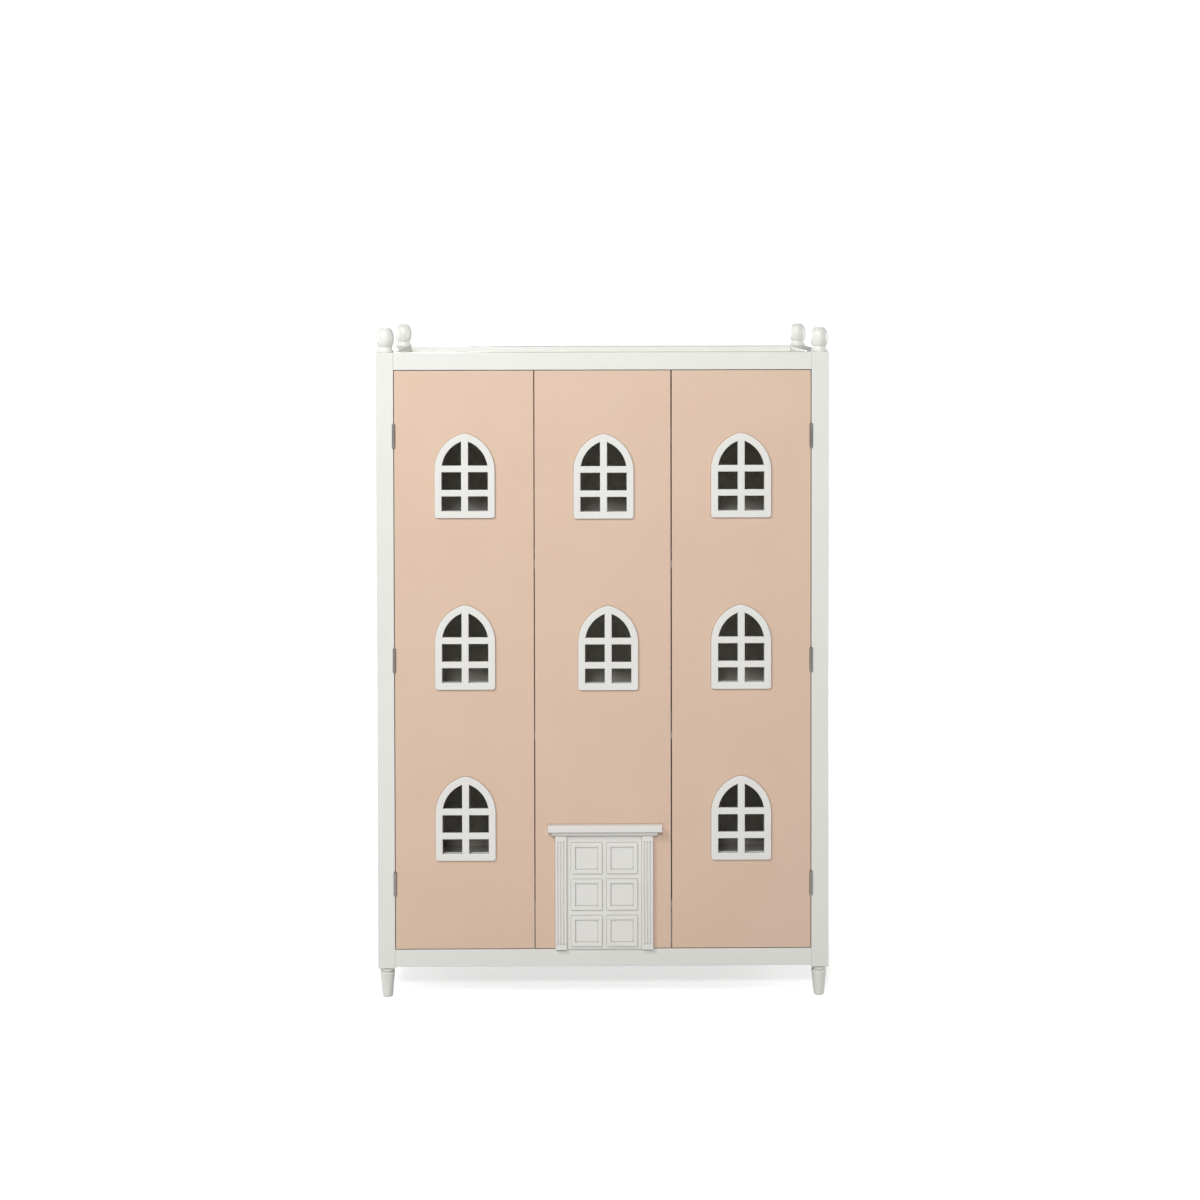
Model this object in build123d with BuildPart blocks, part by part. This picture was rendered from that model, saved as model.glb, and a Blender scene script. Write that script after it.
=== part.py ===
from build123d import *

# Wooden dollhouse: a white frame of square stock on turned feet, with ball finials on its posts,
# a roof terrace, three storeys, and a front of three leaves with arched windows. The left leaf is
# a door of its own. The centre leaf, which carries a front-door portal, folds on the right door.
# Millimetres, +X to the right, +Y to the back, +Z up, origin under the middle of the whole object.
import os
from math import atan2, degrees, sqrt

os.makedirs("parts", exist_ok=True)

# ---------------------------------------------------------------- driving dimensions
WIDTH = 780.0  # over the corner posts
DEPTH = 350.0  # over the corner posts
HEIGHT = 1160.0  # floor to finial tops
STOCK = 30.0  # square stock of posts and rails
FOOT_HEIGHT = 52.0
FINIAL_HEIGHT = 42.0
RAIL_LIFT = 3.0  # bottom rails sit this far above the posts' lower ends
EASE = 1.0  # rounding of sawn edges

TENON_LENGTH = 9.0  # rail tenons
TENON_WIDTH = 10.0
TENON_HEIGHTS = {"bottom": (6.0, 20.0), "top": (10.0, 24.0)}  # above the rail's underside
DOWEL_R = 4.0  # turned tenons of finials and feet
DOWEL_LENGTH = 13.0
FIT = 0.1  # clearance of a glued wooden joint

SIDE_T = 9.0  # side panels
BACK_T = 6.0  # back panel
GROOVE = 8.0  # depth of the panel grooves
DADO = 3.0  # depth of the floor housings in the side panels
FLOOR_T = 12.0
STOREY = 297.0  # floor to floor
GROUND_FLOOR_TOP = 162.0
DECK_T = 9.0
DECK_TOP = 1102.0
DECK_GROOVE = 5.0
PLINTH_T = 9.0

LEAF_T = 12.0  # door leaves
HINGE_GAP = 1.0  # leaf to post, rail above and rail below
MEETING_X = -118.2  # middle of the gap between left door and centre leaf
MEETING_GAP = 1.5
FOLD_X = 118.0  # middle of the gap between centre leaf and right door
FOLD_GAP = 2.0
FLOOR_SETBACK = 2.0  # floors stop this far behind the leaves

WINDOW_SILL = 240.0  # underside of the lowest window frames
WINDOW_PITCH = 296.5
LEFT_WINDOW_X = -237.5
RIGHT_WINDOW_X = 238.5
CENTRE_WINDOW_X = {"top": 1.5, "middle": 9.0}
CENTRE_WINDOW_DROP = 1.5  # the centre leaf's windows sit a little lower
ARCH_OFFSET = 13.4  # each side of the pointed arch is struck from beyond the centre line
ARCH_Z = 82.5  # springing line above the frame's underside
ARCH_R = 65.2  # outer radius of the arch
TIP_R = 20.0  # rounding of the point
CORNER_R = 5.0
FRAME_W = 12.0
BAR_W = 12.1
BARS_Z = ((37.6, 48.7), (79.3, 90.6))
FRAME_PROUD = 4.0
SPIGOT = 8.0  # the frame's plug in the leaf
LAND = 6.0  # the frame covers the edge of its hole by this much

PORTAL_X = 1.6
DOOR_W = 129.6
DOOR_H = 197.0
DOOR_PROUD = 3.0
PILASTER_W = 19.8
PILASTER_PROUD = 7.0
FLUTE_R = 1.5
FLUTE_PITCH = 5.0
FLUTE_END = 9.0  # plain block left at each end of a pilaster
BED_W = 183.0
BED_H = 8.5
BED_PROUD = 10.0
BED_BEVEL = 3.5
CORNICE_X = 3.2
CORNICE_W = 197.0
CORNICE_H = 10.5
CORNICE_PROUD = 15.0
RING_OUTER = 53.2
RING_INNER = 39.4
RING_PROUD = 2.5
RING_BEVEL = 0.6
RING_PITCH_X = 61.2
RING_PITCH_Z = 63.2
RING_LOW_Z = 117.8  # centre of the lowest rings

HINGE_Z = (199.0, 586.5, 974.0)
HINGE_LENGTH = 40.0
KNUCKLE_R = 2.5
KNUCKLE_CLEAR = 0.3
KNUCKLE_SPLIT = 6.5  # half the length of the middle knuckle
PIN_R = 1.2
PIN_FIT = 0.04
PIN_CAP = 0.8  # button ends of the pins
PIN_CAP_R = 2.0
PLATE_T = 1.2
PLATE_REACH = 10.5
FOLD_REACH = 15.0
FOLD_SCREW_REACH = 9.0  # fold hinge screws each side of the fold
AXIS_PROUD = 0.5  # post hinge axes stand this far in front of the leaves

SCREW_HEAD_R = 2.2
SCREW_R = 1.0
SCREW_HEAD_T = 1.2
SCREW_LENGTH = 9.5
SCREW_FIT = 0.05
SCREW_RISE = 12.0  # hinge screws above and below the hinge's middle
CROSS_L = 2.6
CROSS_W = 0.6
CROSS_DEEP = 0.7

CATCH_W = 30.0
CATCH_D = 8.0
CATCH_H = 12.0
CATCH_OFF = 18.0  # catch centres each side of the meeting gap
CATCH_SCREW = 11.0
MAGNET_W = 14.0
MAGNET_H = 7.0
MAGNET_T = 3.0
STRIKE_W = 24.0
STRIKE_H = 9.0
STRIKE_T = 0.8
CATCH_SETBACK = 1.0  # catch face behind the leaves' backs

# ---------------------------------------------------------------- places worked out from them
FRONT = -(DEPTH - CORNICE_PROUD) / 2  # front of posts and leaves
BACK = FRONT + DEPTH
POST_X = (WIDTH - STOCK) / 2
INNER_X = WIDTH / 2 - STOCK
POST_TOP = HEIGHT - FINIAL_HEIGHT
LOW_RAIL = FOOT_HEIGHT + RAIL_LIFT
HIGH_RAIL = POST_TOP - STOCK
OPENING_LOW = LOW_RAIL + STOCK
PANEL_LOW = OPENING_LOW - GROOVE
PANEL_HIGH = HIGH_RAIL + GROOVE
LEAF_LOW = OPENING_LOW + HINGE_GAP
LEAF_HIGH = HIGH_RAIL - HINGE_GAP
LEAF_BACK = FRONT + LEAF_T
POST_AXIS_X = INNER_X - HINGE_GAP / 2
POST_AXIS_Y = FRONT - AXIS_PROUD
FOLD_AXIS_Y = LEAF_BACK + KNUCKLE_R
FLOOR_TOPS = {
    "ground_floor": GROUND_FLOOR_TOP,
    "first_floor": GROUND_FLOOR_TOP + STOREY,
    "second_floor": GROUND_FLOOR_TOP + 2 * STOREY,
}
SILLS = {
    "bottom": WINDOW_SILL,
    "middle": WINDOW_SILL + WINDOW_PITCH,
    "top": WINDOW_SILL + 2 * WINDOW_PITCH,
}
SIDES = {"left": -1, "right": 1}
RAIL_LEVELS = {"bottom": LOW_RAIL, "top": HIGH_RAIL}
CATCH_Y = (LEAF_BACK + CATCH_SETBACK, LEAF_BACK + CATCH_SETBACK + CATCH_D)
CATCH_SPANS = ((OPENING_LOW, OPENING_LOW + CATCH_H), (HIGH_RAIL - CATCH_H, HIGH_RAIL))
CATCH_X = (MEETING_X - CATCH_OFF, MEETING_X + CATCH_OFF)


# ---------------------------------------------------------------- shared shapes
def save(piece, name):
    """Label a finished piece and write it to its own file."""
    piece.part.label = name
    export_step(piece.part, f"parts/{name}.step")


def slab(x, y, z, mode=Mode.ADD):
    """Box between two x, two y and two z values, in the part being built."""
    spans = (x, y, z)
    with Locations(tuple((a + b) / 2 for a, b in spans)):
        Box(*(abs(b - a) for a, b in spans), mode=mode)


def ease(piece, axis, radius=EASE):
    """Round the edges that run along an axis."""
    fillet(piece.edges().filter_by(axis), radius)


def round_bar(x, y, z, radius, mode=Mode.ADD):
    """Upright cylinder at x, y between two z values."""
    with Locations((x, y, (z[0] + z[1]) / 2)):
        Cylinder(radius, abs(z[1] - z[0]), mode=mode)


def upright_plane(x, y, z):
    """Plane that faces the front, with its own y axis pointing up."""
    return Plane(origin=(x, y, z), x_dir=(1, 0, 0), z_dir=(0, -1, 0))


def screw_holes(screws):
    """Cut the holes of countersunk screws, each given by its head's centre and direction."""
    for spot, direction in screws:
        with Locations(Plane(origin=spot, z_dir=direction)):
            Cone(
                SCREW_HEAD_R + SCREW_FIT,
                SCREW_R + SCREW_FIT,
                SCREW_HEAD_T,
                align=(Align.CENTER, Align.CENTER, Align.MIN),
                mode=Mode.SUBTRACT,
            )
            Cylinder(
                SCREW_R + SCREW_FIT,
                SCREW_LENGTH + SCREW_FIT,
                align=(Align.CENTER, Align.CENTER, Align.MIN),
                mode=Mode.SUBTRACT,
            )


def screw_set(screws, name):
    """Countersunk screws with a cross recess, as separate solids of one node."""
    with BuildPart() as screw_group:
        for spot, direction in screws:
            with Locations(Plane(origin=spot, z_dir=direction)):
                Cone(
                    SCREW_HEAD_R,
                    SCREW_R,
                    SCREW_HEAD_T,
                    align=(Align.CENTER, Align.CENTER, Align.MIN),
                )
                Cylinder(
                    SCREW_R, SCREW_LENGTH, align=(Align.CENTER, Align.CENTER, Align.MIN)
                )
                Box(CROSS_L, CROSS_W, 2 * CROSS_DEEP, mode=Mode.SUBTRACT)
                Box(CROSS_W, CROSS_L, 2 * CROSS_DEEP, mode=Mode.SUBTRACT)
    save(screw_group, name)


# ---------------------------------------------------------------- where the screws go
def post_screws(side):
    """Through the post hinge plates, outwards into the post."""
    x = side * INNER_X
    y = FRONT + LEAF_T / 2
    return [
        ((x, y, z + rise), (side, 0, 0)) for z in HINGE_Z for rise in (-SCREW_RISE, SCREW_RISE)
    ]


def edge_screws(side):
    """Through the door hinge plates, inwards into the door's edge."""
    x = side * (INNER_X - HINGE_GAP)
    y = FRONT + LEAF_T / 2
    return [
        ((x, y, z + rise), (-side, 0, 0)) for z in HINGE_Z for rise in (-SCREW_RISE, SCREW_RISE)
    ]


def fold_screws(side):
    """Through the fold hinge plates into the back of a leaf; side is -1 for the centre leaf."""
    x = FOLD_X + side * FOLD_SCREW_REACH
    y = LEAF_BACK + PLATE_T
    return [
        ((x, y, z + rise), (0, -1, 0)) for z in HINGE_Z for rise in (-SCREW_RISE, SCREW_RISE)
    ]


def strike_screws(x):
    """One through each steel strike on the back of a leaf."""
    return [((x, LEAF_BACK + STRIKE_T, (low + high) / 2), (0, -1, 0)) for low, high in CATCH_SPANS]


def catch_screws():
    """Two through each catch, down into the bottom rail or up into the top rail."""
    y = CATCH_Y[1] - CATCH_D / 2 + MAGNET_T / 2
    screws = []
    for x in CATCH_X:
        for shift in (-CATCH_SCREW, CATCH_SCREW):
            screws.append(((x + shift, y, OPENING_LOW + CATCH_H / 2), (0, 0, -1)))
            screws.append(((x + shift, y, HIGH_RAIL - CATCH_H / 2), (0, 0, 1)))
    return screws


def catch_screw_wells():
    """Wells that sink the catch screws' heads half-way into the housings."""
    for (x, y, z), (_, _, down) in catch_screws():
        round_bar(x, y, (z, z - down * CATCH_H), SCREW_HEAD_R + SCREW_FIT, Mode.SUBTRACT)


# ---------------------------------------------------------------- carcass frame
def corner_post(name, side, front):
    """Square post with mortises, panel grooves, dowel holes and, in front, hinge recesses."""
    y_mid = FRONT + STOCK / 2 if front else BACK - STOCK / 2
    inward = 1 if front else -1
    inner_y = y_mid + inward * STOCK / 2
    with BuildPart() as post:
        slab(
            (side * INNER_X, side * WIDTH / 2),
            (y_mid - STOCK / 2, y_mid + STOCK / 2),
            (FOOT_HEIGHT, POST_TOP),
        )
        fillet(post.edges(), EASE)
        deep = DOWEL_LENGTH + EASE
        round_bar(
            side * POST_X, y_mid, (POST_TOP - deep, POST_TOP), DOWEL_R + FIT, Mode.SUBTRACT
        )
        round_bar(
            side * POST_X, y_mid, (FOOT_HEIGHT, FOOT_HEIGHT + deep), DOWEL_R + FIT, Mode.SUBTRACT
        )
        half = TENON_WIDTH / 2 + FIT
        reach = TENON_LENGTH + FIT
        for level_name, level in RAIL_LEVELS.items():
            low, high = TENON_HEIGHTS[level_name]
            tall = (level + low - FIT, level + high + FIT)
            slab(
                (side * INNER_X, side * (INNER_X + reach)),
                (y_mid - half, y_mid + half),
                tall,
                Mode.SUBTRACT,
            )
            slab(
                (side * (POST_X - half), side * (POST_X + half)),
                (inner_y, inner_y - inward * reach),
                tall,
                Mode.SUBTRACT,
            )
        half = SIDE_T / 2 + FIT
        slab(
            (side * (POST_X - half), side * (POST_X + half)),
            (inner_y, inner_y - inward * GROOVE),
            (PANEL_LOW, PANEL_HIGH),
            Mode.SUBTRACT,
        )
        if front:
            hinge_recesses(side, INNER_X, 1)
            screw_holes(post_screws(side))
        else:
            half = BACK_T / 2 + FIT
            slab(
                (side * INNER_X, side * (INNER_X + GROOVE)),
                (y_mid - half, y_mid + half),
                (PANEL_LOW, PANEL_HIGH),
                Mode.SUBTRACT,
            )
    save(post, name)


def hinge_recesses(side, face_x, outward):
    """Housings for the hinge plates and hollows for the barrels, in a post or a door's edge."""
    for z in HINGE_Z:
        tall = (z - HINGE_LENGTH / 2 - FIT, z + HINGE_LENGTH / 2 + FIT)
        slab(
            (side * face_x, side * (face_x + outward * PLATE_T)),
            (FRONT - EASE, FRONT + PLATE_REACH - AXIS_PROUD + FIT),
            tall,
            Mode.SUBTRACT,
        )
        round_bar(
            side * POST_AXIS_X,
            POST_AXIS_Y,
            (tall[0] - PIN_CAP - FIT, tall[1] + PIN_CAP + FIT),
            KNUCKLE_R + KNUCKLE_CLEAR,
            Mode.SUBTRACT,
        )


def cross_rail(name, level_name, front):
    """Front or back rail with a stub tenon at each end."""
    level = RAIL_LEVELS[level_name]
    tenon_low, tenon_high = TENON_HEIGHTS[level_name]
    top = level_name == "top"
    y_mid = FRONT + STOCK / 2 if front else BACK - STOCK / 2
    inner_y = y_mid + STOCK / 2 if front else y_mid - STOCK / 2
    with BuildPart() as rail:
        slab(
            (-INNER_X, INNER_X), (y_mid - STOCK / 2, y_mid + STOCK / 2), (level, level + STOCK)
        )
        ease(rail, Axis.X)
        slab(
            (-INNER_X - TENON_LENGTH, INNER_X + TENON_LENGTH),
            (y_mid - TENON_WIDTH / 2, y_mid + TENON_WIDTH / 2),
            (level + tenon_low, level + tenon_high),
        )
        if not front:
            half = BACK_T / 2 + FIT
            groove = (HIGH_RAIL, PANEL_HIGH) if top else (PANEL_LOW, OPENING_LOW)
            slab((-INNER_X, INNER_X), (y_mid - half, y_mid + half), groove, Mode.SUBTRACT)
        if top:
            toward_post = -1 if front else 1
            slab(
                (-INNER_X, INNER_X),
                (inner_y, inner_y + toward_post * DECK_GROOVE),
                (DECK_TOP - DECK_T - FIT, DECK_TOP + FIT),
                Mode.SUBTRACT,
            )
        if front:
            screw_holes(catch_screws())
    save(rail, name)


def side_rail(name, level_name, side):
    """Side rail with a stub tenon at each end and a groove for the side panel."""
    level = RAIL_LEVELS[level_name]
    tenon_low, tenon_high = TENON_HEIGHTS[level_name]
    top = level_name == "top"
    y_span = (FRONT + STOCK, BACK - STOCK)
    with BuildPart() as rail:
        slab((side * INNER_X, side * WIDTH / 2), y_span, (level, level + STOCK))
        ease(rail, Axis.Y)
        slab(
            (side * (POST_X - TENON_WIDTH / 2), side * (POST_X + TENON_WIDTH / 2)),
            (y_span[0] - TENON_LENGTH, y_span[1] + TENON_LENGTH),
            (level + tenon_low, level + tenon_high),
        )
        half = SIDE_T / 2 + FIT
        groove = (HIGH_RAIL, PANEL_HIGH) if top else (PANEL_LOW, OPENING_LOW)
        slab((side * (POST_X - half), side * (POST_X + half)), y_span, groove, Mode.SUBTRACT)
        if top:
            slab(
                (side * INNER_X, side * (INNER_X + DECK_GROOVE)),
                y_span,
                (DECK_TOP - DECK_T - FIT, DECK_TOP + FIT),
                Mode.SUBTRACT,
            )
    save(rail, name)


def finial(name, x, y):
    """Turned ball with a flattened top on a short cove, dowelled into the post."""
    foot_r = 14.6
    neck = (11.0, 9.4)
    crown = (7.2, FINIAL_HEIGHT)
    with BuildPart() as ball:
        with BuildSketch(upright_plane(x, y, POST_TOP)):
            with BuildLine():
                Polyline((0, FINIAL_HEIGHT), (0, -DOWEL_LENGTH), (DOWEL_R, -DOWEL_LENGTH))
                Polyline((DOWEL_R, -DOWEL_LENGTH), (DOWEL_R, 0), (foot_r, 0), (foot_r, 1.8))
                ThreePointArc((foot_r, 1.8), (12.3, 4.8), neck)
                Spline(neck, (13.1, 13.2), (14.7, 19.5), (14.6, 27.5), (12.9, 35.0), crown)
                Line(crown, (0, FINIAL_HEIGHT))
            make_face()
        revolve(axis=Axis((x, y, 0), (0, 0, 1)))
    save(ball, name)


def foot(name, x, y):
    """Turned foot: a bead between two grooves, then a straight taper, dowelled into the post."""
    bead_top = (11.4, 50.8)
    bead_low = (11.4, 45.4)
    groove_r = 11.0
    taper_top = (12.8, 42.4)
    taper_low = (8.8, 0.8)
    sole = (8.2, 0)
    with BuildPart() as leg:
        with BuildSketch(upright_plane(x, y, 0)):
            with BuildLine():
                Polyline((0, 0), (0, FOOT_HEIGHT + DOWEL_LENGTH))
                Polyline((0, FOOT_HEIGHT + DOWEL_LENGTH), (DOWEL_R, FOOT_HEIGHT + DOWEL_LENGTH))
                Polyline((DOWEL_R, FOOT_HEIGHT + DOWEL_LENGTH), (DOWEL_R, FOOT_HEIGHT))
                Polyline((DOWEL_R, FOOT_HEIGHT), (bead_top[0], FOOT_HEIGHT), bead_top)
                ThreePointArc(bead_top, (13.3, 48.1), bead_low)
                Polyline(bead_low, (groove_r, 44.8), (groove_r, 43.4), taper_top, taper_low)
                ThreePointArc(taper_low, (8.6, 0.25), sole)
                Line(sole, (0, 0))
            make_face()
        revolve(axis=Axis((x, y, 0), (0, 0, 1)))
    save(leg, name)


for row, front_row in (("front", True), ("back", False)):
    row_y = FRONT + STOCK / 2 if front_row else BACK - STOCK / 2
    for hand, hand_sign in SIDES.items():
        corner_post(f"post_{row}_{hand}", hand_sign, front_row)
        finial(f"finial_{row}_{hand}", hand_sign * POST_X, row_y)
        foot(f"foot_{row}_{hand}", hand_sign * POST_X, row_y)
    for rail_level in RAIL_LEVELS:
        cross_rail(f"{rail_level}_rail_{row}", rail_level, front_row)
for hand, hand_sign in SIDES.items():
    for rail_level in RAIL_LEVELS:
        side_rail(f"{rail_level}_rail_{hand}", rail_level, hand_sign)


# ---------------------------------------------------------------- panels, floors and deck
for hand, hand_sign in SIDES.items():
    inner_face = POST_X - SIDE_T / 2
    with BuildPart() as side_panel:
        slab(
            (hand_sign * inner_face, hand_sign * (inner_face + SIDE_T)),
            (FRONT + STOCK - GROOVE + FIT, BACK - STOCK + GROOVE - FIT),
            (PANEL_LOW + FIT, PANEL_HIGH - FIT),
        )
        for floor_top in FLOOR_TOPS.values():
            slab(
                (hand_sign * inner_face, hand_sign * (inner_face + DADO)),
                (FRONT + STOCK, BACK - STOCK),
                (floor_top - FLOOR_T - FIT, floor_top + FIT),
                Mode.SUBTRACT,
            )
    save(side_panel, f"side_panel_{hand}")

BACK_PANEL_Y = BACK - STOCK / 2
with BuildPart() as back_panel:
    slab(
        (-INNER_X - GROOVE + FIT, INNER_X + GROOVE - FIT),
        (BACK_PANEL_Y - BACK_T / 2, BACK_PANEL_Y + BACK_T / 2),
        (PANEL_LOW + FIT, PANEL_HIGH - FIT),
    )
save(back_panel, "back_panel")

for floor_name, floor_top in FLOOR_TOPS.items():
    housed_x = POST_X - SIDE_T / 2 + DADO - FIT
    thick = (floor_top - FLOOR_T, floor_top)
    with BuildPart() as floor_board:
        slab((-housed_x, housed_x), (FRONT + STOCK + FIT, BACK - STOCK - FIT), thick)
        slab(
            (-INNER_X + FIT, INNER_X - FIT),
            (LEAF_BACK + FLOOR_SETBACK, BACK_PANEL_Y - BACK_T / 2),
            thick,
        )
    save(floor_board, floor_name)

with BuildPart() as plinth_board:
    slab(
        (-INNER_X + FIT, INNER_X - FIT),
        (FRONT + STOCK - PLINTH_T, FRONT + STOCK),
        (OPENING_LOW, GROUND_FLOOR_TOP - FLOOR_T),
    )
save(plinth_board, "plinth_board")

with BuildPart() as roof_deck:
    deck_span = (DECK_TOP - DECK_T, DECK_TOP)
    tongue = DECK_GROOVE - FIT
    slab(
        (-INNER_X - tongue, INNER_X + tongue),
        (FRONT + STOCK + FIT, BACK - STOCK - FIT),
        deck_span,
    )
    slab(
        (-INNER_X + FIT, INNER_X - FIT),
        (FRONT + STOCK - tongue, BACK - STOCK + tongue),
        deck_span,
    )
save(roof_deck, "roof_deck")


# ---------------------------------------------------------------- hinges
def hinge_half(axis, plate_x, plate_y, z, outer):
    """One plate with its knuckles about the axis (x, y); plate spans are relative to the axis.

    outer: the plate carries the two outer knuckles, otherwise the middle one.
    """
    x, y = axis
    half = HINGE_LENGTH / 2
    gap = KNUCKLE_CLEAR / 2
    outer_spans = ((z - half, z - KNUCKLE_SPLIT - gap), (z + KNUCKLE_SPLIT + gap, z + half))
    middle_spans = ((z - KNUCKLE_SPLIT + gap, z + KNUCKLE_SPLIT - gap),)
    own, other = (outer_spans, middle_spans) if outer else (middle_spans, outer_spans)
    slab(
        (x + plate_x[0], x + plate_x[1]),
        (y + plate_y[0], y + plate_y[1]),
        (z - half, z + half),
    )
    for low, high in other:
        clear_span = (low - KNUCKLE_CLEAR, high + KNUCKLE_CLEAR)
        round_bar(x, y, clear_span, KNUCKLE_R + KNUCKLE_CLEAR, Mode.SUBTRACT)
    for span in own:
        round_bar(x, y, span, KNUCKLE_R)
    round_bar(x, y, (z - half, z + half), PIN_R + PIN_FIT, Mode.SUBTRACT)


def hinge_pins(axes, name):
    """Steel pins with button ends, one through each hinge."""
    with BuildPart() as pins:
        for x, y in axes:
            for z in HINGE_Z:
                half = HINGE_LENGTH / 2
                round_bar(x, y, (z - half, z + half), PIN_R)
                round_bar(x, y, (z + half, z + half + PIN_CAP), PIN_CAP_R)
                round_bar(x, y, (z - half - PIN_CAP, z - half), PIN_CAP_R)
    save(pins, name)


POST_AXES = [(hand_sign * POST_AXIS_X, POST_AXIS_Y) for hand_sign in SIDES.values()]
NEAR = HINGE_GAP / 2

with BuildPart() as post_hinge_plates:
    for hand_sign, post_axis in zip(SIDES.values(), POST_AXES):
        for hinge_z in HINGE_Z:
            hinge_half(
                post_axis,
                (hand_sign * NEAR, hand_sign * (NEAR + PLATE_T)),
                (0, PLATE_REACH),
                hinge_z,
                True,
            )
        screw_holes(post_screws(hand_sign))
save(post_hinge_plates, "post_hinge_plates")
hinge_pins(POST_AXES, "post_hinge_pins")

for hand, post_axis in zip(SIDES, POST_AXES):
    hand_sign = SIDES[hand]
    with BuildPart() as door_plates:
        for hinge_z in HINGE_Z:
            hinge_half(
                post_axis,
                (-hand_sign * NEAR, -hand_sign * (NEAR + PLATE_T)),
                (0, PLATE_REACH),
                hinge_z,
                False,
            )
        screw_holes(edge_screws(hand_sign))
    save(door_plates, f"{hand}_hinge_plates")

FOLD_AXIS = (FOLD_X, FOLD_AXIS_Y)
for leaf_name, leaf_side in (("centre", -1), ("right", 1)):
    with BuildPart() as fold_plates:
        for hinge_z in HINGE_Z:
            hinge_half(
                FOLD_AXIS,
                (0, leaf_side * FOLD_REACH),
                (-KNUCKLE_R, -KNUCKLE_R + PLATE_T),
                hinge_z,
                leaf_side == 1,
            )
        screw_holes(fold_screws(leaf_side))
    save(fold_plates, f"{leaf_name}_fold_plates")
hinge_pins([FOLD_AXIS], "fold_hinge_pins")

# ---------------------------------------------------------------- magnetic catches and strikes
with BuildPart() as catch_housings:
    for catch_x in CATCH_X:
        for catch_z in CATCH_SPANS:
            slab((catch_x - CATCH_W / 2, catch_x + CATCH_W / 2), CATCH_Y, catch_z)
            magnet_mid = (catch_z[0] + catch_z[1]) / 2
            slab(
                (catch_x - MAGNET_W / 2 - FIT, catch_x + MAGNET_W / 2 + FIT),
                (CATCH_Y[0], CATCH_Y[0] + MAGNET_T),
                (magnet_mid - MAGNET_H / 2 - FIT, magnet_mid + MAGNET_H / 2 + FIT),
                Mode.SUBTRACT,
            )
    catch_screw_wells()
    screw_holes(catch_screws())
save(catch_housings, "catch_housings")

with BuildPart() as catch_magnets:
    for catch_x in CATCH_X:
        for catch_z in CATCH_SPANS:
            magnet_mid = (catch_z[0] + catch_z[1]) / 2
            slab(
                (catch_x - MAGNET_W / 2, catch_x + MAGNET_W / 2),
                (CATCH_Y[0], CATCH_Y[0] + MAGNET_T),
                (magnet_mid - MAGNET_H / 2, magnet_mid + MAGNET_H / 2),
            )
save(catch_magnets, "catch_magnets")

for leaf_name, catch_x in zip(("left", "centre"), CATCH_X):
    with BuildPart() as strikes:
        for low, high in CATCH_SPANS:
            strike_mid = (low + high) / 2
            slab(
                (catch_x - STRIKE_W / 2, catch_x + STRIKE_W / 2),
                (LEAF_BACK, LEAF_BACK + STRIKE_T),
                (strike_mid - STRIKE_H / 2, strike_mid + STRIKE_H / 2),
            )
        ease(strikes, Axis.Y, 2 * EASE)
        screw_holes(strike_screws(catch_x))
    save(strikes, f"{leaf_name}_strikes")

screw_set(post_screws(-1) + post_screws(1) + catch_screws(), "carcass_screws")
screw_set(edge_screws(-1) + strike_screws(CATCH_X[0]), "left_door_screws")
screw_set(edge_screws(1) + fold_screws(1), "right_door_screws")
screw_set(fold_screws(-1) + strike_screws(CATCH_X[1]), "centre_leaf_screws")


# ---------------------------------------------------------------- arched windows
def arch_edges(inset):
    """Gothic-arched outline, struck from two centres with a rounded point, drawn inset."""
    radius = ARCH_R - inset
    half = radius - ARCH_OFFSET
    rise = sqrt((ARCH_R - TIP_R) ** 2 - ARCH_OFFSET**2)
    meet = degrees(atan2(rise, ARCH_OFFSET))
    with BuildLine() as outline:
        CenterArc((-ARCH_OFFSET, ARCH_Z), radius, 0, meet)
        CenterArc((0, ARCH_Z + rise), TIP_R - inset, meet, 180 - 2 * meet)
        CenterArc((ARCH_OFFSET, ARCH_Z), radius, 180 - meet, meet)
        Polyline((-half, ARCH_Z), (-half, inset), (half, inset), (half, ARCH_Z))
    return outline.edges()


def arch_face(x, z, inset, open_arch=False, bars=()):
    """Arched face on the leaves' front plane, whole or as an open frame crossed by bars."""
    with BuildSketch(upright_plane(x, FRONT, z)) as arch:
        make_face(arch_edges(inset))
        corners = arch.vertices().group_by(Axis.Z)[0]
        fillet(corners, max(CORNER_R - inset, EASE))
        if open_arch:
            make_face(arch_edges(FRAME_W), mode=Mode.SUBTRACT)
        if bars:
            top = ARCH_Z + ARCH_R - FRAME_W
            with Locations((0, (FRAME_W + top) / 2)):
                Rectangle(BAR_W, top - FRAME_W)
        for low, high in bars:
            reach = ARCH_R - ARCH_OFFSET - FRAME_W
            with Locations((0, (low + high) / 2)):
                Rectangle(2 * reach + EASE, high - low)
    return arch.sketch


def window_frame(name, x, z):
    """White frame cut in one piece: a face with thin bars on the leaf, a plug in its hole."""
    with BuildPart() as frame:
        extrude(arch_face(x, z, 0, open_arch=True, bars=BARS_Z), amount=FRAME_PROUD)
        face_edges = frame.faces().sort_by(Axis.Y)[0].edges()
        fillet(face_edges, EASE)
        extrude(arch_face(x, z, LAND, open_arch=True), amount=-SPIGOT)
    save(frame, name)


def window_hole(x, z):
    """Hole in a leaf for one window frame's plug."""
    extrude(arch_face(x, z, LAND - FIT), amount=-LEAF_T, mode=Mode.SUBTRACT)


CENTRE_SILLS = {row: SILLS[row] - CENTRE_WINDOW_DROP for row in CENTRE_WINDOW_X}
for row, sill in SILLS.items():
    window_frame(f"left_window_{row}", LEFT_WINDOW_X, sill)
    window_frame(f"right_window_{row}", RIGHT_WINDOW_X, sill)
for row, window_x in CENTRE_WINDOW_X.items():
    window_frame(f"centre_window_{row}", window_x, CENTRE_SILLS[row])


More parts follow.
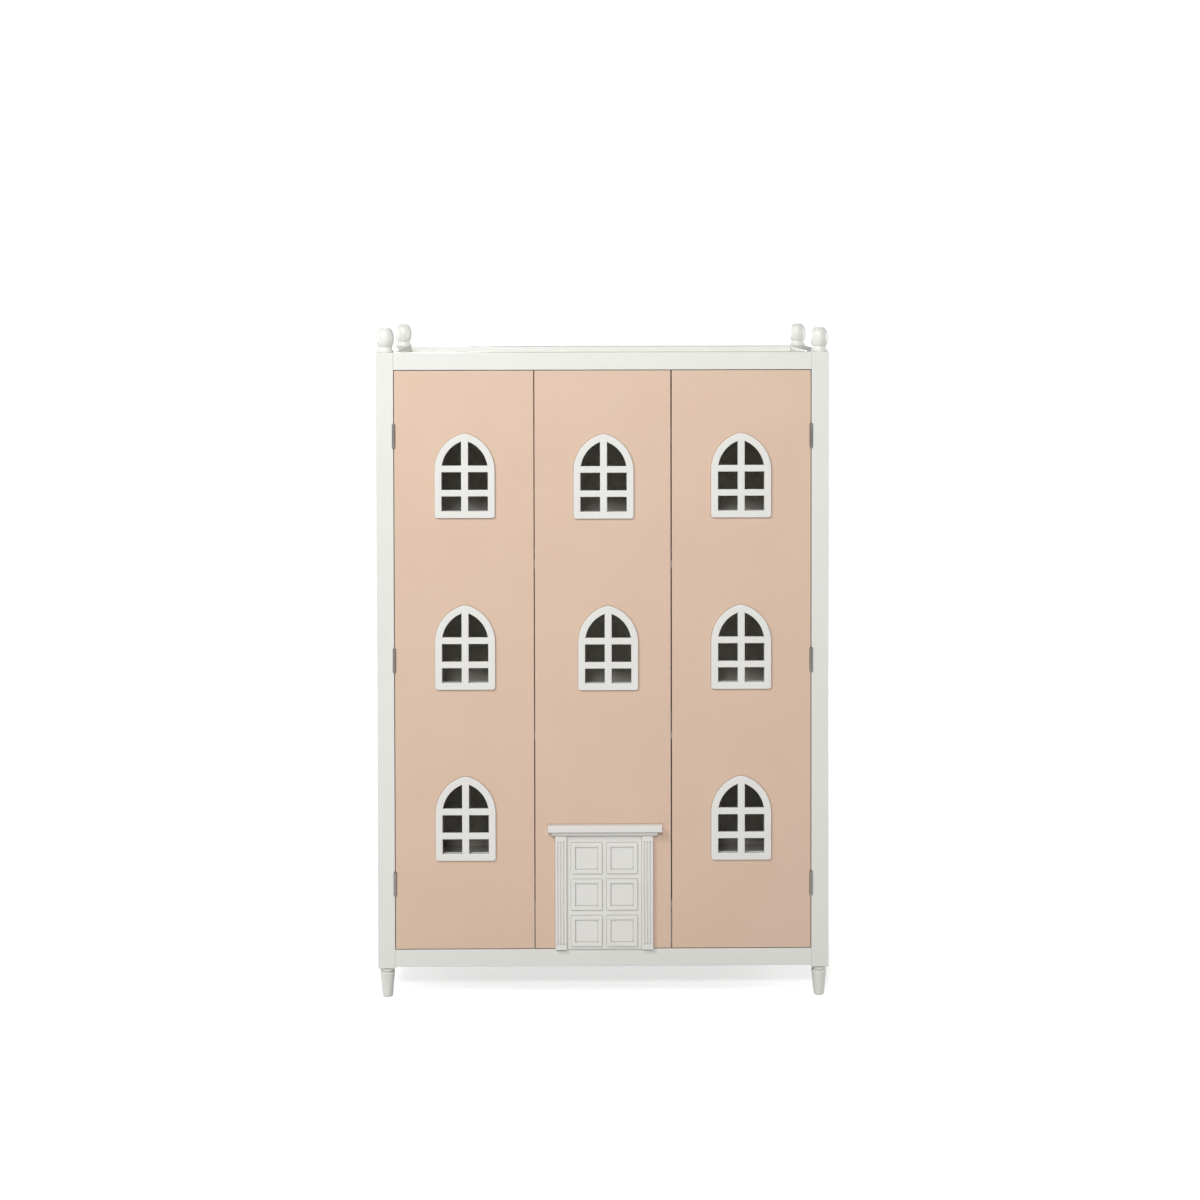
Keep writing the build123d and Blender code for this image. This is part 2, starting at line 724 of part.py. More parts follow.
# ---------------------------------------------------------------- leaves
def leaf_board(x):
    """Plain leaf between two x values."""
    slab(x, (FRONT, LEAF_BACK), (LEAF_LOW, LEAF_HIGH))


with BuildPart() as left_door_panel:
    leaf_board((-INNER_X + HINGE_GAP, MEETING_X - MEETING_GAP / 2))
    fillet(left_door_panel.edges(), EASE)
    for sill in SILLS.values():
        window_hole(LEFT_WINDOW_X, sill)
    hinge_recesses(-1, INNER_X - HINGE_GAP, -1)
    screw_holes(edge_screws(-1) + strike_screws(CATCH_X[0]))
save(left_door_panel, "left_door_panel")

with BuildPart() as right_door_panel:
    leaf_board((FOLD_X + FOLD_GAP / 2, INNER_X - HINGE_GAP))
    fillet(right_door_panel.edges(), EASE)
    for sill in SILLS.values():
        window_hole(RIGHT_WINDOW_X, sill)
    hinge_recesses(1, INNER_X - HINGE_GAP, -1)
    screw_holes(edge_screws(1) + fold_screws(1))
save(right_door_panel, "right_door_panel")

with BuildPart() as centre_panel:
    leaf_board((MEETING_X + MEETING_GAP / 2, FOLD_X - FOLD_GAP / 2))
    fillet(centre_panel.edges(), EASE)
    for row, window_x in CENTRE_WINDOW_X.items():
        window_hole(window_x, CENTRE_SILLS[row])
    screw_holes(fold_screws(-1) + strike_screws(CATCH_X[1]))
save(centre_panel, "centre_panel")

# ---------------------------------------------------------------- front-door portal
DOOR_TOP = LEAF_LOW + DOOR_H
with BuildPart() as portal_door:
    slab(
        (PORTAL_X - DOOR_W / 2, PORTAL_X + DOOR_W / 2),
        (FRONT - DOOR_PROUD, FRONT),
        (LEAF_LOW, DOOR_TOP),
    )
save(portal_door, "portal_door")

for hand, hand_sign in SIDES.items():
    inner_edge = PORTAL_X + hand_sign * DOOR_W / 2
    pilaster_x = inner_edge + hand_sign * PILASTER_W / 2
    with BuildPart() as pilaster:
        slab(
            (inner_edge, inner_edge + hand_sign * PILASTER_W),
            (FRONT - PILASTER_PROUD, FRONT),
            (LEAF_LOW, DOOR_TOP),
        )
        front_uprights = pilaster.edges().filter_by(Axis.Z).group_by(Axis.Y)[0]
        fillet(front_uprights, EASE)
        for shift in (-FLUTE_PITCH, 0, FLUTE_PITCH):
            round_bar(
                pilaster_x + shift,
                FRONT - PILASTER_PROUD,
                (LEAF_LOW + FLUTE_END, DOOR_TOP - FLUTE_END),
                FLUTE_R,
                Mode.SUBTRACT,
            )
    save(pilaster, f"portal_pilaster_{hand}")

BED_TOP = DOOR_TOP + BED_H
with BuildPart() as portal_bed_mould:
    slab(
        (PORTAL_X - BED_W / 2, PORTAL_X + BED_W / 2),
        (FRONT - BED_PROUD, FRONT),
        (DOOR_TOP, BED_TOP),
    )
    under = portal_bed_mould.faces().sort_by(Axis.Z)[0].edges()
    chamfer(under.sort_by(Axis.Y)[:-1], BED_BEVEL)
save(portal_bed_mould, "portal_bed_mould")

with BuildPart() as portal_cornice:
    slab(
        (CORNICE_X - CORNICE_W / 2, CORNICE_X + CORNICE_W / 2),
        (FRONT - CORNICE_PROUD, FRONT),
        (BED_TOP, BED_TOP + CORNICE_H),
    )
    rim = portal_cornice.faces().sort_by(Axis.Y)[0].edges()
    fillet(rim, EASE)
save(portal_cornice, "portal_cornice")

RING_Y = FRONT - DOOR_PROUD
with BuildPart() as portal_panel_rings:
    for column in (-0.5, 0.5):
        for storey in range(3):
            ring_plane = upright_plane(
                PORTAL_X + column * RING_PITCH_X, RING_Y, RING_LOW_Z + storey * RING_PITCH_Z
            )
            with BuildSketch(ring_plane):
                Rectangle(RING_OUTER, RING_OUTER)
                Rectangle(RING_INNER, RING_INNER, mode=Mode.SUBTRACT)
            extrude(amount=RING_PROUD)
    ring_faces = portal_panel_rings.faces().filter_by(Axis.Y).group_by(Axis.Y)[0]
    chamfer(ring_faces.edges(), RING_BEVEL)
save(portal_panel_rings, "portal_panel_rings")
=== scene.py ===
import math

import bmesh
import bpy
from mathutils import Matrix, Vector


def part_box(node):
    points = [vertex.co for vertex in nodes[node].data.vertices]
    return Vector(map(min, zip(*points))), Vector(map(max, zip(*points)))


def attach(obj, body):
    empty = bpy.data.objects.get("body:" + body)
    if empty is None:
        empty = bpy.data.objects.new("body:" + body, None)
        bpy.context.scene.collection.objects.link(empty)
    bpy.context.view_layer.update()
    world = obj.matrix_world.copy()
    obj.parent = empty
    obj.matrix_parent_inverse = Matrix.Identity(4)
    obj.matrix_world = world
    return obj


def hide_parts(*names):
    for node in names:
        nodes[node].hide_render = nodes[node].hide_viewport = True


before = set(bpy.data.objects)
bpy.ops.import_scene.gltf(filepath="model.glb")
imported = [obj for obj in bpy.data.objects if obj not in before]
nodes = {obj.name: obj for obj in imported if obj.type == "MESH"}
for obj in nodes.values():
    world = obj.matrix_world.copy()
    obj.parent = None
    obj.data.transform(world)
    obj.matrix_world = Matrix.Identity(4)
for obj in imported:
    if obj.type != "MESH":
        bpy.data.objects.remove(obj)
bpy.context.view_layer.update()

MM = 0.001


# ------------------------------------------------------------------ white frame: posts and rails
# Square-planed hardwood posts and rails, jointed with stub tenons, filled, sanded and sprayed
# with a satin white lacquer. The film is smooth, but a faint grain still stands through it; the
# eased edges are painted lighter as a painted highlight, and hollow corners get painted shade.
def new_group(name, inputs, outputs):
    """Shader node group with named inputs and outputs; gives its tree, input and output nodes."""
    group = bpy.data.node_groups.new(name, "ShaderNodeTree")
    for label, kind, value in inputs:
        socket = group.interface.new_socket(label, in_out="INPUT", socket_type=kind)
        socket.default_value = value
    for label, kind in outputs:
        group.interface.new_socket(label, in_out="OUTPUT", socket_type=kind)
    return group, group.nodes.new("NodeGroupInput"), group.nodes.new("NodeGroupOutput")


def node(tree, kind, links=None, **settings):
    """Add a node, set its attributes, and link or set its inputs by name or number."""
    made = tree.nodes.new(kind)
    for key, value in settings.items():
        setattr(made, key, value)
    for key, value in (links or {}).items():
        if isinstance(value, bpy.types.NodeSocket):
            tree.links.new(value, made.inputs[key])
        else:
            made.inputs[key].default_value = value
    return made


def grain_under_paint():
    """Grain that telegraphs through a paint film: long soft lines along one axis of the object."""
    tree, given, out = new_group(
        "grain_under_paint",
        [
            ("Stretch", "NodeSocketVector", (1.0, 1.0, 0.03)),
            ("Lines per metre", "NodeSocketFloat", 420.0),
        ],
        [("Height", "NodeSocketFloat")],
    )
    place = node(tree, "ShaderNodeTexCoord")
    along = node(
        tree,
        "ShaderNodeVectorMath",
        {0: place.outputs["Object"], 1: given.outputs["Stretch"]},
        operation="MULTIPLY",
    )
    lines = node(
        tree,
        "ShaderNodeTexNoise",
        {
            "Vector": along.outputs[0],
            "Scale": given.outputs["Lines per metre"],
            "Detail": 3.0,
            "Roughness": 0.6,
            "Distortion": 0.35,
        },
    )
    tree.links.new(lines.outputs["Fac"], out.inputs["Height"])
    return tree


def sprayed_film():
    """Sprayed lacquer: slow drift of tone, fine orange peel, and gloss that comes and goes."""
    tree, given, out = new_group(
        "sprayed_film",
        [
            ("Colour", "NodeSocketColor", (0.8, 0.8, 0.8, 1.0)),
            ("Deeper", "NodeSocketColor", (0.7, 0.7, 0.7, 1.0)),
            ("Gloss low", "NodeSocketFloat", 0.34),
            ("Gloss high", "NodeSocketFloat", 0.46),
            ("Peel per metre", "NodeSocketFloat", 900.0),
        ],
        [
            ("Colour", "NodeSocketColor"),
            ("Roughness", "NodeSocketFloat"),
            ("Height", "NodeSocketFloat"),
        ],
    )
    place = node(tree, "ShaderNodeTexCoord")
    drift = node(
        tree,
        "ShaderNodeTexNoise",
        {"Vector": place.outputs["Object"], "Scale": 7.0, "Detail": 4.0, "Roughness": 0.55},
    )
    spread = node(
        tree,
        "ShaderNodeMapRange",
        {"Value": drift.outputs["Fac"], "From Min": 0.35, "From Max": 0.68},
        interpolation_type="SMOOTHSTEP",
    )
    tone = node(
        tree,
        "ShaderNodeMix",
        {
            0: spread.outputs["Result"],
            6: given.outputs["Colour"],
            7: given.outputs["Deeper"],
        },
        data_type="RGBA",
    )
    peel = node(
        tree,
        "ShaderNodeTexNoise",
        {
            "Vector": place.outputs["Object"],
            "Scale": given.outputs["Peel per metre"],
            "Detail": 1.5,
            "Roughness": 0.45,
        },
    )
    patches = node(
        tree,
        "ShaderNodeTexNoise",
        {"Vector": place.outputs["Object"], "Scale": 38.0, "Detail": 5.0, "Roughness": 0.62},
    )
    gloss = node(
        tree,
        "ShaderNodeMapRange",
        {
            "Value": patches.outputs["Fac"],
            "From Min": 0.3,
            "From Max": 0.7,
            "To Min": given.outputs["Gloss low"],
            "To Max": given.outputs["Gloss high"],
        },
    )
    tree.links.new(tone.outputs[2], out.inputs["Colour"])
    tree.links.new(gloss.outputs["Result"], out.inputs["Roughness"])
    tree.links.new(peel.outputs["Fac"], out.inputs["Height"])
    return tree


def edge_highlight_and_rub():
    """Painted highlight mask where a sharp edge turns, broken up so no edge is lit evenly end to
    end.
    """
    tree, given, out = new_group(
        "edge_highlight_and_rub",
        [
            ("Reach", "NodeSocketFloat", 0.0012),
            ("Breaks per metre", "NodeSocketFloat", 60.0),
        ],
        [("Mask", "NodeSocketFloat")],
    )
    rounded = node(tree, "ShaderNodeBevel", {"Radius": given.outputs["Reach"]}, samples=6)
    face = node(tree, "ShaderNodeNewGeometry")
    agree = node(
        tree,
        "ShaderNodeVectorMath",
        {0: rounded.outputs["Normal"], 1: face.outputs["True Normal"]},
        operation="DOT_PRODUCT",
    )
    turned = node(
        tree,
        "ShaderNodeMapRange",
        {
            "Value": agree.outputs["Value"],
            "From Min": 0.995,
            "From Max": 0.86,
            "To Min": 0.0,
            "To Max": 1.0,
        },
        interpolation_type="SMOOTHSTEP",
    )
    place = node(tree, "ShaderNodeTexCoord")
    breaks = node(
        tree,
        "ShaderNodeTexNoise",
        {
            "Vector": place.outputs["Object"],
            "Scale": given.outputs["Breaks per metre"],
            "Detail": 4.0,
        },
    )
    uneven = node(
        tree,
        "ShaderNodeMapRange",
        {
            "Value": breaks.outputs["Fac"],
            "From Min": 0.38,
            "From Max": 0.62,
            "To Min": 0.35,
            "To Max": 1.0,
        },
    )
    mask = node(
        tree,
        "ShaderNodeMath",
        {0: turned.outputs["Result"], 1: uneven.outputs["Result"]},
        operation="MULTIPLY",
    )
    tree.links.new(mask.outputs["Value"], out.inputs["Mask"])
    return tree


def painted_crease_shade():
    """Painted shade where two faces meet in a hollow corner, as at the foot of a part glued onto
    another.
    """
    tree, given, out = new_group(
        "painted_crease_shade",
        [("Reach", "NodeSocketFloat", 0.0022)],
        [("Mask", "NodeSocketFloat")],
    )
    opening = node(
        tree, "ShaderNodeAmbientOcclusion", {"Distance": given.outputs["Reach"]}, samples=8
    )
    hollow = node(
        tree,
        "ShaderNodeMapRange",
        {
            "Value": opening.outputs["AO"],
            "From Min": 0.96,
            "From Max": 0.5,
            "To Min": 0.0,
            "To Max": 1.0,
        },
        interpolation_type="SMOOTHSTEP",
    )
    tree.links.new(hollow.outputs["Result"], out.inputs["Mask"])
    return tree


GRAIN = grain_under_paint()
FILM = sprayed_film()
EDGE_HIGHLIGHT_AND_RUB = edge_highlight_and_rub()
SHADED_CREASES = painted_crease_shade()


def group_node(tree, group, **values):
    """Place a node group in a material, with its own values; underscores stand for spaces."""
    made = tree.nodes.new("ShaderNodeGroup")
    made.node_tree = group
    for key, value in values.items():
        made.inputs[key.replace("_", " ")].default_value = value
    return made


def surface(name):
    """New material with an emptied tree; gives the material, its tree and its Principled node."""
    material = bpy.data.materials.new(name)
    material.use_nodes = True
    tree = material.node_tree
    tree.nodes.clear()
    shader = tree.nodes.new("ShaderNodeBsdfPrincipled")
    node(tree, "ShaderNodeOutputMaterial", {"Surface": shader.outputs["BSDF"]})
    return material, tree, shader


# Painted shade: the colour multiplied into hollow corners, and how far out from them it reaches.
CREASE_SHADE = (0.52, 0.50, 0.47, 1.0)
CREASE_REACH = 0.0022


def with_crease_shade(tree, colour, reach=CREASE_REACH, shade=CREASE_SHADE):
    """Colour with a thin line of painted shade along its hollow corners."""
    crease_shading = group_node(tree, SHADED_CREASES, Reach=reach)
    return node(
        tree,
        "ShaderNodeMix",
        {0: crease_shading.outputs["Mask"], 6: colour, 7: shade},
        data_type="RGBA",
        blend_type="MULTIPLY",
    ).outputs[2]


def painted(name, colour, deeper, edge, stretch, film_depth, grain_depth, gloss=(0.34, 0.46)):
    """Sprayed paint over timber whose grain runs along the short way of stretch."""
    material, tree, shader = surface(name)
    film = group_node(
        tree, FILM, Colour=colour, Deeper=deeper, Gloss_low=gloss[0], Gloss_high=gloss[1]
    )
    edge_highlight_mask = group_node(tree, EDGE_HIGHLIGHT_AND_RUB)
    grain = group_node(tree, GRAIN, Stretch=stretch)
    # Painted highlight along the edges, then painted shade in the hollow corners.
    tint = node(
        tree,
        "ShaderNodeMix",
        {0: edge_highlight_mask.outputs["Mask"], 6: film.outputs["Colour"], 7: edge},
        data_type="RGBA",
    )
    coat = with_crease_shade(tree, tint.outputs[2])
    grain_bump = node(
        tree,
        "ShaderNodeBump",
        {"Height": grain.outputs["Height"], "Strength": 0.5, "Distance": grain_depth},
    )
    peel_bump = node(
        tree,
        "ShaderNodeBump",
        {
            "Height": film.outputs["Height"],
            "Strength": 0.5,
            "Distance": film_depth,
            "Normal": grain_bump.outputs["Normal"],
        },
    )
    tree.links.new(coat, shader.inputs["Base Color"])
    tree.links.new(film.outputs["Roughness"], shader.inputs["Roughness"])
    tree.links.new(peel_bump.outputs["Normal"], shader.inputs["Normal"])
    return material


def finish_with(name, material):
    """Give a CAD node one material all over."""
    slots = nodes[name].data.materials
    slots.clear()
    slots.append(material)


FRAME_WHITE = (0.775, 0.782, 0.738, 1.0)
FRAME_DEEPER = (0.762, 0.766, 0.718, 1.0)
# Painted highlight laid along the edges of the white parts.
FRAME_EDGE_HIGHLIGHT = (0.86, 0.855, 0.81, 1.0)
PAINT_PEEL = 0.00004
PAINT_GRAIN = 0.00008
ALONG = 0.03
frame_paint = {}
for run, stretch in {
    "upright": (1.0, 1.0, ALONG),
    "across": (ALONG, 1.0, 1.0),
    "front_to_back": (1.0, ALONG, 1.0),
}.items():
    frame_paint[run] = painted(
        f"white_lacquer_{run}",
        FRAME_WHITE,
        FRAME_DEEPER,
        FRAME_EDGE_HIGHLIGHT,
        stretch,
        PAINT_PEEL,
        PAINT_GRAIN,
    )

for name in nodes:
    if name.startswith(("post_front", "post_back")):
        finish_with(name, frame_paint["upright"])
for level in ("top", "bottom"):
    for side in ("front", "back"):
        finish_with(f"{level}_rail_{side}", frame_paint["across"])
    for side in ("left", "right"):
        finish_with(f"{level}_rail_{side}", frame_paint["front_to_back"])


# ------------------------------------------------------------------ turned finials and feet
# Turned on a lathe from the same stock, with a dowel that is glued into the end of each post, and
# sprayed like the rest. Faint rings from the gouge still run round them under the paint.
ROUND_AND_ROUND = 0.02
turned_paint = painted(
    "white_lacquer_turned",
    FRAME_WHITE,
    FRAME_DEEPER,
    FRAME_EDGE_HIGHLIGHT,
    (ROUND_AND_ROUND, ROUND_AND_ROUND, 1.6),
    PAINT_PEEL,
    0.00007,
)
for name in nodes:
    if name.startswith(("finial", "foot")):
        finish_with(name, turned_paint)


# ------------------------------------------------------------------ floors, deck, back and plinth
# Thin boards, housed in the frame and painted a flatter white on the faces that are seen inside.
# They are rolled rather than sprayed, so the film is a little rougher and more even in gloss.
INSIDE_WHITE = (0.85, 0.83, 0.77, 1.0)
INSIDE_DEEPER = (0.840, 0.820, 0.759, 1.0)
inside_paint = painted(
    "rolled_inside_white",
    INSIDE_WHITE,
    INSIDE_DEEPER,
    FRAME_EDGE_HIGHLIGHT,
    (ALONG, 1.0, 1.0),
    0.00008,
    0.00006,
    (0.48, 0.60),
)
for name in ("back_panel", "ground_floor", "first_floor", "second_floor", "roof_deck"):
    finish_with(name, inside_paint)
finish_with("plinth_board", inside_paint)


# ------------------------------------------------------------------ leaves and side panels
# Flat boards sprayed blush on the outside and white on the inside, with no texture but the fine
# peel of the film. The white side starts just behind the front face's rounding.
BLUSH = (0.708, 0.520, 0.397, 1.0)
BLUSH_DEEPER = (0.695, 0.507, 0.385, 1.0)
# Painted highlight laid along the edges of the blush faces.
BLUSH_EDGE_HIGHLIGHT = (0.80, 0.62, 0.50, 1.0)


def two_sided_paint(name, is_inside):
    """Blush outside and white inside; is_inside(tree, x, y, z) gives the inside's mask."""
    material, tree, shader = surface(name)
    outside = group_node(
        tree, FILM, Colour=BLUSH, Deeper=BLUSH_DEEPER, Gloss_low=0.38, Gloss_high=0.50
    )
    inside = group_node(tree, FILM, Colour=INSIDE_WHITE, Deeper=INSIDE_DEEPER)
    edge_highlight_mask = group_node(tree, EDGE_HIGHLIGHT_AND_RUB)
    grain = group_node(tree, GRAIN, Stretch=(1.0, 1.0, ALONG))
    place = node(tree, "ShaderNodeTexCoord")
    axes = node(tree, "ShaderNodeSeparateXYZ", {"Vector": place.outputs["Object"]})
    mask = is_inside(tree, axes)
    # Painted highlight along the blush face's edges.
    edge = node(
        tree,
        "ShaderNodeMix",
        {0: edge_highlight_mask.outputs["Mask"], 6: outside.outputs["Colour"], 7: BLUSH_EDGE_HIGHLIGHT},
        data_type="RGBA",
    )
    colour = node(
        tree,
        "ShaderNodeMix",
        {0: mask, 6: edge.outputs[2], 7: inside.outputs["Colour"]},
        data_type="RGBA",
    )
    grain_bump = node(
        tree,
        "ShaderNodeBump",
        {"Height": grain.outputs["Height"], "Strength": 0.4, "Distance": 0.00004},
    )
    peel_bump = node(
        tree,
        "ShaderNodeBump",
        {
            "Height": outside.outputs["Height"],
            "Strength": 0.5,
            "Distance": PAINT_PEEL,
            "Normal": grain_bump.outputs["Normal"],
        },
    )
    # Painted shade in the hollow corners.
    tree.links.new(with_crease_shade(tree, colour.outputs[2]), shader.inputs["Base Color"])
    tree.links.new(outside.outputs["Roughness"], shader.inputs["Roughness"])
    tree.links.new(peel_bump.outputs["Normal"], shader.inputs["Normal"])
    return material


leaf_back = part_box("left_door_panel")[1].y
panel_inside = abs(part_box("side_panel_left")[1].x)


def behind_the_leaf(tree, axes):
    """1 on a leaf's back face."""
    return node(
        tree,
        "ShaderNodeMath",
        {0: axes.outputs["Y"], 1: leaf_back - 0.2 * MM},
        operation="GREATER_THAN",
    ).outputs[0]


def inside_the_house(tree, axes):
    """1 on the face of a side panel that looks into the rooms."""
    away = node(tree, "ShaderNodeMath", {0: axes.outputs["X"]}, operation="ABSOLUTE")
    return node(
        tree,
        "ShaderNodeMath",
        {0: away.outputs[0], 1: panel_inside + 0.3 * MM},
        operation="LESS_THAN",
    ).outputs[0]


leaf_paint = two_sided_paint("blush_leaf_paint", behind_the_leaf)
side_paint = two_sided_paint("blush_side_paint", inside_the_house)
for name in ("left_door_panel", "right_door_panel", "centre_panel"):
    finish_with(name, leaf_paint)
for name in ("side_panel_left", "side_panel_right"):
    finish_with(name, side_paint)


# ------------------------------------------------------------------ windows and portal
# Frames, pilasters, mouldings and the door are routed from fine-grained board and sprayed in the
# same white as the carcass, then glued on. Their edges carry a painted highlight, and painted
# shade lines their hollow corners.
trim_paint = painted(
    "white_trim_lacquer",
    (0.785, 0.782, 0.748, 1.0),
    (0.77, 0.764, 0.728, 1.0),
    (0.86, 0.855, 0.825, 1.0),
    (1.0, 1.0, 0.3),
    0.00004,
    0.00002,
    (0.32, 0.44),
)
for name in nodes:
    if "_window_" in name or name.startswith("portal_"):
        finish_with(name, trim_paint)


# ------------------------------------------------------------------ hinges, screws and catches
# Pressed steel butt hinges, nickel plated; zinc-plated strikes; catches of moulded plastic with a
# nickel-plated magnet let into each. The hinge plates are let in flush and screwed.
# Painted shade for the hollow corners of the metal parts.
METAL_CREASE_REACH = 0.0016
METAL_CREASE_SHADE = (0.22, 0.21, 0.20, 1.0)


def plated(name, colour, duller, rough, scratch_depth):
    """Plated steel with rolling marks, cloudy tarnish, a painted highlight on its edges and
    painted shade in its hollows.
    """
    material, tree, shader = surface(name)
    film = group_node(
        tree,
        FILM,
        Colour=colour,
        Deeper=duller,
        Gloss_low=rough[0],
        Gloss_high=rough[1],
        Peel_per_metre=2600.0,
    )
    rolled = group_node(tree, GRAIN, Stretch=(1.0, 1.0, 0.05), Lines_per_metre=2200.0)
    edge_highlight_mask = group_node(tree, EDGE_HIGHLIGHT_AND_RUB, Reach=0.0004)
    # Painted highlight along the edges, then painted shade in the hollow corners.
    bright = node(
        tree,
        "ShaderNodeMix",
        {0: edge_highlight_mask.outputs["Mask"], 6: film.outputs["Colour"], 7: (0.92, 0.91, 0.89, 1.0)},
        data_type="RGBA",
    )
    bump = node(
        tree,
        "ShaderNodeBump",
        {"Height": rolled.outputs["Height"], "Strength": 0.5, "Distance": scratch_depth},
    )
    coat = with_crease_shade(tree, bright.outputs[2], METAL_CREASE_REACH, METAL_CREASE_SHADE)
    tree.links.new(coat, shader.inputs["Base Color"])
    tree.links.new(film.outputs["Roughness"], shader.inputs["Roughness"])
    tree.links.new(bump.outputs["Normal"], shader.inputs["Normal"])
    shader.inputs["Metallic"].default_value = 1.0
    return material


ROLLING_MARKS = 2e-5
POLISHED_MARKS = 1e-5
nickel = plated(
    "nickel_plated_steel",
    (0.50, 0.49, 0.46, 1),
    (0.38, 0.37, 0.35, 1),
    (0.34, 0.5),
    ROLLING_MARKS,
)
zinc = plated(
    "zinc_plated_steel",
    (0.74, 0.75, 0.77, 1),
    (0.60, 0.61, 0.64, 1),
    (0.26, 0.42),
    ROLLING_MARKS,
)
magnet = plated(
    "nickel_plated_magnet",
    (0.66, 0.65, 0.62, 1),
    (0.55, 0.54, 0.5, 1),
    (0.16, 0.3),
    POLISHED_MARKS,
)
catch_plastic = painted(
    "moulded_catch_plastic",
    (0.72, 0.72, 0.70, 1.0),
    (0.69, 0.69, 0.67, 1.0),
    # painted highlight along the edges
    (0.80, 0.80, 0.78, 1.0),
    (1.0, 1.0, 1.0),
    0.00003,
    0.00001,
    (0.40, 0.55),
)
for name in nodes:
    if name.endswith(("_plates", "_pins")):
        finish_with(name, nickel)
    elif name.endswith(("_screws", "_strikes")):
        finish_with(name, zinc)
finish_with("catch_magnets", magnet)
finish_with("catch_housings", catch_plastic)


# ------------------------------------------------------------------ front door panel mouldings
# Six square frames of thin moulding, mitred at the corners and glued on the door in two columns of
# three. Each is a plain flat strip with its outer and inner edges just broken.
def add_input(tree, label, kind, value):
    """Named input of a geometry node tree; gives its identifier."""
    socket = tree.interface.new_socket(label, in_out="INPUT", socket_type=kind)
    socket.default_value = value
    return socket.identifier


def plain_mesh(source, name, body):
    """Turn an object with a geometry node tree into a plain mesh that rides on a body."""
    bpy.context.view_layer.update()
    evaluated = source.evaluated_get(bpy.context.evaluated_depsgraph_get())
    mesh = bpy.data.meshes.new_from_object(evaluated)
    made = bpy.data.objects.new(name, mesh)
    bpy.context.scene.collection.objects.link(made)
    bpy.data.objects.remove(source)
    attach(made, body)
    return made


def grid_of_frames():
    """Tree that sets a frame at each point of an upright grid and gives them one material."""
    tree = bpy.data.node_groups.new("grid_of_frames", "GeometryNodeTree")
    tree.interface.new_socket("Geometry", in_out="INPUT", socket_type="NodeSocketGeometry")
    names = {
        label: add_input(tree, label, kind, value)
        for label, kind, value in (
            ("Frame", "NodeSocketObject", None),
            ("Across", "NodeSocketInt", 2),
            ("Up", "NodeSocketInt", 3),
            ("Width", "NodeSocketFloat", 0.06),
            ("Height", "NodeSocketFloat", 0.12),
            ("Middle", "NodeSocketVector", (0.0, 0.0, 0.0)),
            ("Paint", "NodeSocketMaterial", None),
        )
    }
    tree.interface.new_socket("Geometry", in_out="OUTPUT", socket_type="NodeSocketGeometry")
    given = tree.nodes.new("NodeGroupInput")
    out = tree.nodes.new("NodeGroupOutput")
    grid = node(
        tree,
        "GeometryNodeMeshGrid",
        {
            "Size X": given.outputs["Width"],
            "Size Y": given.outputs["Height"],
            "Vertices X": given.outputs["Across"],
            "Vertices Y": given.outputs["Up"],
        },
    )
    upright = node(
        tree,
        "GeometryNodeTransform",
        {
            "Geometry": grid.outputs["Mesh"],
            "Translation": given.outputs["Middle"],
            "Rotation": (math.pi / 2, 0.0, 0.0),
        },
    )
    shape = node(tree, "GeometryNodeObjectInfo", {"Object": given.outputs["Frame"]})
    placed = node(
        tree,
        "GeometryNodeInstanceOnPoints",
        {"Points": upright.outputs[0], "Instance": shape.outputs["Geometry"]},
    )
    real = node(tree, "GeometryNodeRealizeInstances", {"Geometry": placed.outputs[0]})
    coated = node(
        tree,
        "GeometryNodeSetMaterial",
        {"Geometry": real.outputs[0], "Material": given.outputs["Paint"]},
    )
    tree.links.new(coated.outputs[0], out.inputs[0])
    return tree, names


# The moulding's section, from its outer edge inwards: distance in from the outside, and height.
RING_SECTION = [
    (0.0, 0.0),
    (0.0, 2.2),
    (0.1, 2.42),
    (0.35, 2.5),
    (6.55, 2.5),
    (6.8, 2.42),
    (6.9, 2.2),
    (6.9, 0.0),
]
RING_SIDE = 53.2


def mitred_frame():
    """One square frame about the origin, lying against the plane y = 0 and standing out to -y."""
    mesh = bpy.data.meshes.new("panel_moulding")
    shape = bmesh.new()
    loops = []
    for inward, proud in RING_SECTION:
        half = (RING_SIDE / 2 - inward) * MM
        corners = [(-half, -half), (half, -half), (half, half), (-half, half)]
        loops.append([shape.verts.new((x, -proud * MM, z)) for x, z in corners])
    for outer, inner in zip(loops, loops[1:] + loops[:1]):
        for corner in range(4):
            following = (corner + 1) % 4
            shape.faces.new(
                (outer[corner], outer[following], inner[following], inner[corner])
            )
    bmesh.ops.recalc_face_normals(shape, faces=shape.faces)
    shape.to_mesh(mesh)
    shape.free()
    return bpy.data.objects.new("panel_moulding", mesh)


ring_low, ring_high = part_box("portal_panel_rings")
door_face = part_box("portal_door")[0].y
ring_tree, ring_inputs = grid_of_frames()
moulding = mitred_frame()
ring_points = bpy.data.objects.new("ring_points", bpy.data.meshes.new("ring_points"))
bpy.context.scene.collection.objects.link(ring_points)
ring_modifier = ring_points.modifiers.new("frames", "NODES")
ring_modifier.node_group = ring_tree
ring_middle = (ring_low + ring_high) / 2
for label, value in (
    ("Frame", moulding),
    ("Across", 2),
    ("Up", 3),
    ("Width", ring_high.x - ring_low.x - RING_SIDE * MM),
    ("Height", ring_high.z - ring_low.z - RING_SIDE * MM),
    ("Middle", (ring_middle.x, door_face, ring_middle.z)),
    ("Paint", trim_paint),
):
    ring_modifier[ring_inputs[label]] = value
panel_mouldings = plain_mesh(ring_points, "panel_mouldings", "centre_leaf")
bpy.data.objects.remove(moulding)
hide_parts("portal_panel_rings")


